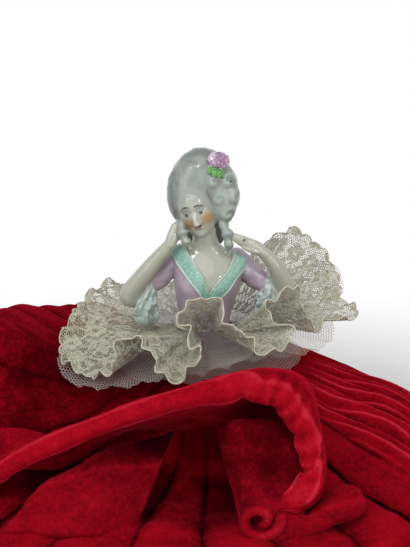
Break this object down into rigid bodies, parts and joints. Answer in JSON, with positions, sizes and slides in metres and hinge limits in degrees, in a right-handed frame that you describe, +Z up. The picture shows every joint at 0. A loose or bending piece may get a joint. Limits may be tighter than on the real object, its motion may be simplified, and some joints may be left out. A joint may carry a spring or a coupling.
{
  "type": "half-doll with wadded skirt",
  "caption": "Glazed porcelain half-doll, waist up, hands raised to her hair, sewn by her flange on a wadded red velvet skirt with lace and net ruffles at the waist.",
  "frame": {"origin": "on the table, in the flat underside of the skirt's wadding, straight below the doll's waist", "axes": "+Z up along the doll; -Y is the way she faces, and +X is towards her left"},
  "size_m": [0.278, 0.2393, 0.1582],
  "materials": {
    "porcelain_lilac": "clear glossy glaze over tinted slip-cast porcelain",
    "porcelain_skin": "clear glossy glaze over tinted slip-cast porcelain",
    "porcelain_hair": "clear glossy glaze over tinted slip-cast porcelain",
    "porcelain_turquoise": "clear glossy glaze over tinted slip-cast porcelain",
    "porcelain_frill": "clear glossy glaze over tinted slip-cast porcelain",
    "porcelain_rose": "clear glossy glaze over tinted slip-cast porcelain",
    "porcelain_leaf": "clear glossy glaze over tinted slip-cast porcelain",
    "lace": "aged cream embroidered net with a corded scalloped edge",
    "net": "fine plain silk net, greyed pink",
    "thread": "pale cotton thread",
    "cotton_tape": "plain cotton tape",
    "wadding": "loose cotton wadding",
    "velvet": "deep red quilted velvet with a bright pile on its folds"
  },
  "bodies": {
    "skirt": {"skirt_panel_left": "velvet", "skirt_panel_front": "velvet", "skirt_panel_right": "velvet", "skirt_panel_back": "velvet", "inner_wadding": "wadding", "turned_back_hem": "velvet", "rolled_corner": "velvet", "hem_tongue": "velvet", "inner_fold": "velvet", "waist_tape": "cotton_tape", "stuffing_pad": "wadding", "net_under_ruffle": "net", "net_ruffle": "net", "lace_flounce": "lace", "gathering_cord": "thread"},
    "thread_loops": {"stitch_front": "thread", "stitch_left": "thread", "stitch_back": "thread", "stitch_right": "thread"},
    "figure": {"bodice": "porcelain_lilac", "bust_and_neck": "porcelain_skin", "head": "porcelain_skin", "hair": "porcelain_hair", "collar_band": "porcelain_turquoise", "sleeve_right": "porcelain_lilac", "forearm_right": "porcelain_skin", "frill_right": "porcelain_frill", "sleeve_left": "porcelain_lilac", "forearm_left": "porcelain_skin", "frill_left": "porcelain_frill", "ringlet_right": "porcelain_hair", "ringlet_left": "porcelain_hair", "rose": "porcelain_rose", "rose_leaves": "porcelain_leaf"}
  },
  "joints": [
    {"name": "figure_tip", "type": "hinge", "parent": "skirt", "child": "thread_loops", "pos_m": [0, 0, 0.062], "axis": [1, 0, 0], "range_deg": [-2, 2], "stiffness_Nm_per_rad": 0.5},
    {"name": "figure_lean", "type": "hinge", "parent": "thread_loops", "child": "figure", "pos_m": [0, 0, 0.062], "axis": [0, 1, 0], "range_deg": [-2, 2], "stiffness_Nm_per_rad": 0.5}
  ]
}
